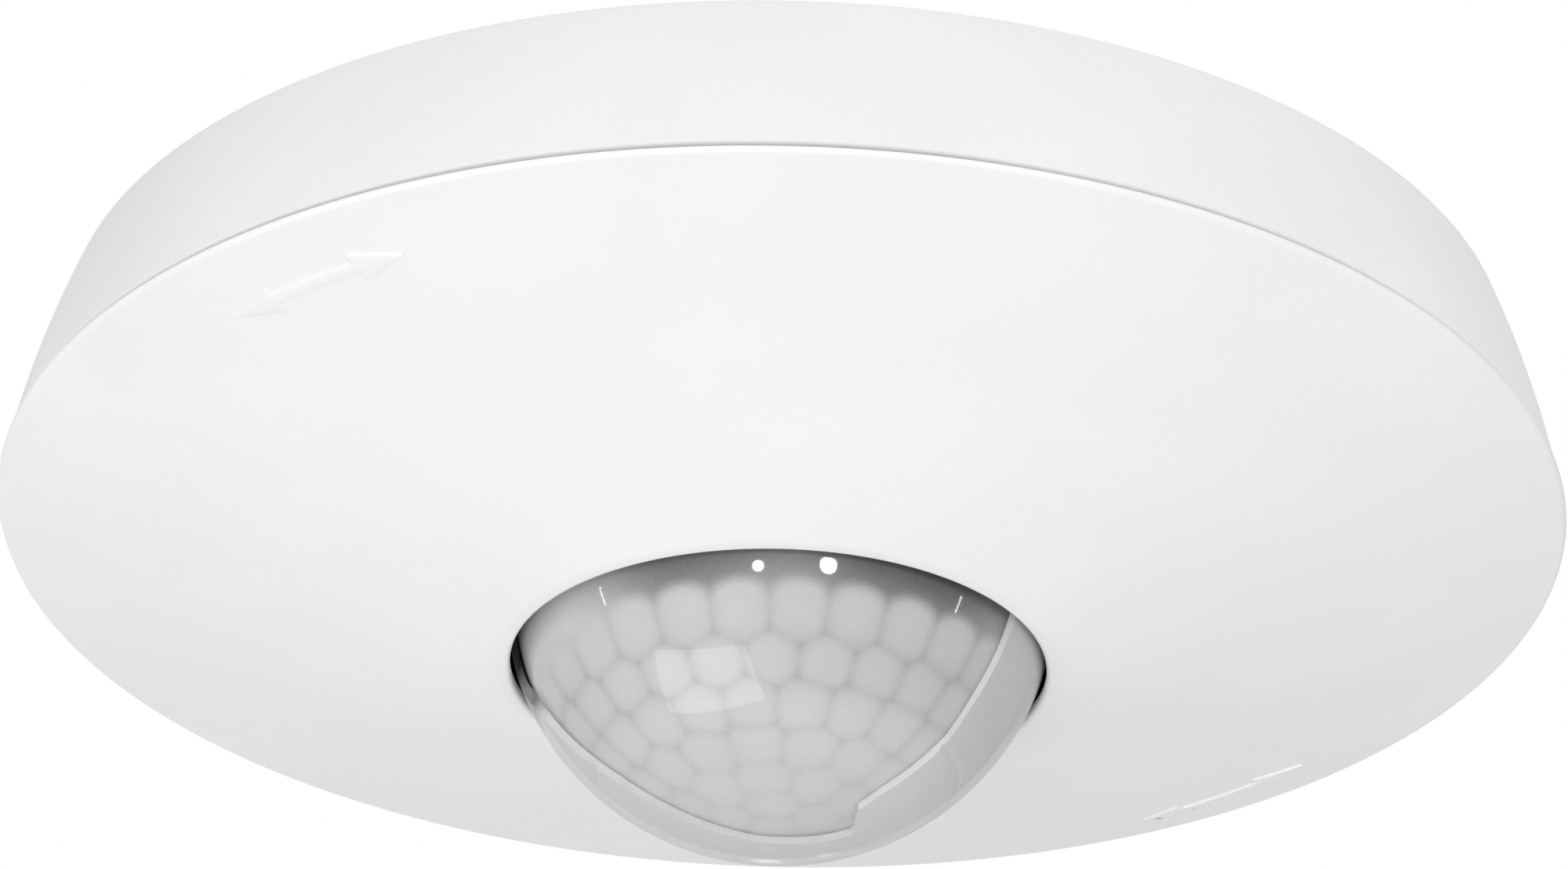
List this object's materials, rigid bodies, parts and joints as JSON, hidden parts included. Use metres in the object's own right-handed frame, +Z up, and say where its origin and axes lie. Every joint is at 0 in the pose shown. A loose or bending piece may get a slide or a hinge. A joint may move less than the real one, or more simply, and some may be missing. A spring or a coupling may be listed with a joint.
{
  "type": "ceiling motion sensor",
  "caption": "Surface-mounted passive infrared ceiling motion sensor: conical casing and cover, milky ball lens with a turning mask, relay and settings inside.",
  "frame": {"origin": "centre of the ceiling face", "axes": "+Z up into the ceiling, out of the mounting face; the lens faces -Z; +Y towards the cable entry; -Y faces the viewer of the picture"},
  "size_m": [0.116, 0.116, 0.04],
  "materials": {
    "white_casing": "fine satin moulded texture",
    "inner_plastic": "plain moulded, slightly greyer than the casing",
    "white_controls": "smooth moulded",
    "lens_milky": "glossy outside, lens cells inside, milky",
    "mask_translucent": "satin translucent",
    "black_plastic": "matt black",
    "rubber": "matt",
    "foam_seal": "closed-cell foam",
    "circuit_board": "green solder mask",
    "screw_steel": "zinc-plated",
    "filter_window": "dark infrared filter, glossy",
    "terminal_plastic": "moulded grey-green",
    "relay_case": "smooth moulded",
    "capacitor_case": "smooth moulded box",
    "varistor_coat": "dipped coating",
    "fuse_glass": "clear tube with nickel-plated caps",
    "clear_diode": "clear epoxy",
    "red_diode": "tinted epoxy",
    "control_orange": "moulded",
    "dip_case": "moulded"
  },
  "bodies": {
    "casing": {"back_box": "white_casing", "module_housing": "inner_plastic", "sensor_bezel": "inner_plastic", "time_pot": "inner_plastic", "lux_pot": "inner_plastic", "lens_dome": "lens_milky", "lens_retainer": "black_plastic", "sensor_cup": "black_plastic", "board_header": "black_plastic", "test_switch": "black_plastic", "smoothing_capacitor": "black_plastic", "choke": "black_plastic", "cable_grommet": "rubber", "lens_gasket": "rubber", "ceiling_seal": "foam_seal", "power_board": "circuit_board", "control_board": "circuit_board", "board_screw_1": "screw_steel", "board_screw_2": "screw_steel", "housing_screw_1": "screw_steel", "housing_screw_2": "screw_steel", "housing_screw_3": "screw_steel", "control_screw_1": "screw_steel", "control_screw_2": "screw_steel", "retainer_screw_1": "screw_steel", "retainer_screw_2": "screw_steel", "retainer_screw_3": "screw_steel", "pir_sensor": "screw_steel", "pir_window": "filter_window", "terminal_block": "terminal_plastic", "relay": "relay_case", "film_capacitor": "capacitor_case", "varistor": "varistor_coat", "fuse": "fuse_glass", "light_sensor": "clear_diode", "status_led": "red_diode", "dip_block": "dip_case"},
    "lock_ring": {"locking_ring": "inner_plastic"},
    "cover": {"front_cover": "white_casing"},
    "mask": {"lens_mask": "mask_translucent"},
    "time_control": {"time_dial": "control_orange"},
    "lux_control": {"lux_dial": "control_orange"},
    "test_control": {"test_button": "white_controls"},
    "dip_1": {"dip_slider_1": "white_controls"},
    "dip_2": {"dip_slider_2": "white_controls"},
    "dip_3": {"dip_slider_3": "white_controls"},
    "dip_4": {"dip_slider_4": "white_controls"},
    "clamp_1": {"terminal_screw_1": "screw_steel"},
    "clamp_2": {"terminal_screw_2": "screw_steel"},
    "clamp_3": {"terminal_screw_3": "screw_steel"},
    "clamp_4": {"terminal_screw_4": "screw_steel"}
  },
  "joints": [
    {"name": "cover_twist", "type": "hinge", "parent": "casing", "child": "lock_ring", "pos_m": [0, 0, -0.011], "axis": [0, 0, 1], "range_deg": [0, 15]},
    {"name": "cover_pull", "type": "slide", "parent": "lock_ring", "child": "cover", "axis": [0, 0, -1], "range_m": [0, 0.035], "stiffness_N_per_m": 30, "springref_m": -0.03},
    {"name": "mask_turn", "type": "hinge", "parent": "casing", "child": "mask", "pos_m": [0, 0, -0.0192], "axis": [0, 0, 1], "continuous": true},
    {"name": "time_turn", "type": "hinge", "parent": "casing", "child": "time_control", "pos_m": [-0.01845, -0.02736, -0.017], "axis": [0, 0, -1], "range_deg": [-135, 135]},
    {"name": "lux_turn", "type": "hinge", "parent": "casing", "child": "lux_control", "pos_m": [0.01845, -0.02736, -0.017], "axis": [0, 0, -1], "range_deg": [-135, 135]},
    {"name": "test_press", "type": "slide", "parent": "casing", "child": "test_control", "axis": [0, 0, 1], "range_m": [0, 0.0005], "stiffness_N_per_m": 20, "springref_m": -0.01},
    {"name": "dip_1_slide", "type": "slide", "parent": "casing", "child": "dip_1", "axis": [0, 1, 0], "range_m": [0, 0.0015]},
    {"name": "dip_2_slide", "type": "slide", "parent": "casing", "child": "dip_2", "axis": [0, 1, 0], "range_m": [0, 0.0015]},
    {"name": "dip_3_slide", "type": "slide", "parent": "casing", "child": "dip_3", "axis": [0, 1, 0], "range_m": [0, 0.0015]},
    {"name": "dip_4_slide", "type": "slide", "parent": "casing", "child": "dip_4", "axis": [0, 1, 0], "range_m": [0, 0.0015]},
    {"name": "clamp_1_turn", "type": "hinge", "parent": "casing", "child": "clamp_1", "pos_m": [-0.0081, 0.03, -0.0125], "axis": [0, 0, -1], "continuous": true},
    {"name": "clamp_2_turn", "type": "hinge", "parent": "casing", "child": "clamp_2", "pos_m": [-0.0027, 0.03, -0.0125], "axis": [0, 0, -1], "continuous": true},
    {"name": "clamp_3_turn", "type": "hinge", "parent": "casing", "child": "clamp_3", "pos_m": [0.0027, 0.03, -0.0125], "axis": [0, 0, -1], "continuous": true},
    {"name": "clamp_4_turn", "type": "hinge", "parent": "casing", "child": "clamp_4", "pos_m": [0.0081, 0.03, -0.0125], "axis": [0, 0, -1], "continuous": true}
  ]
}
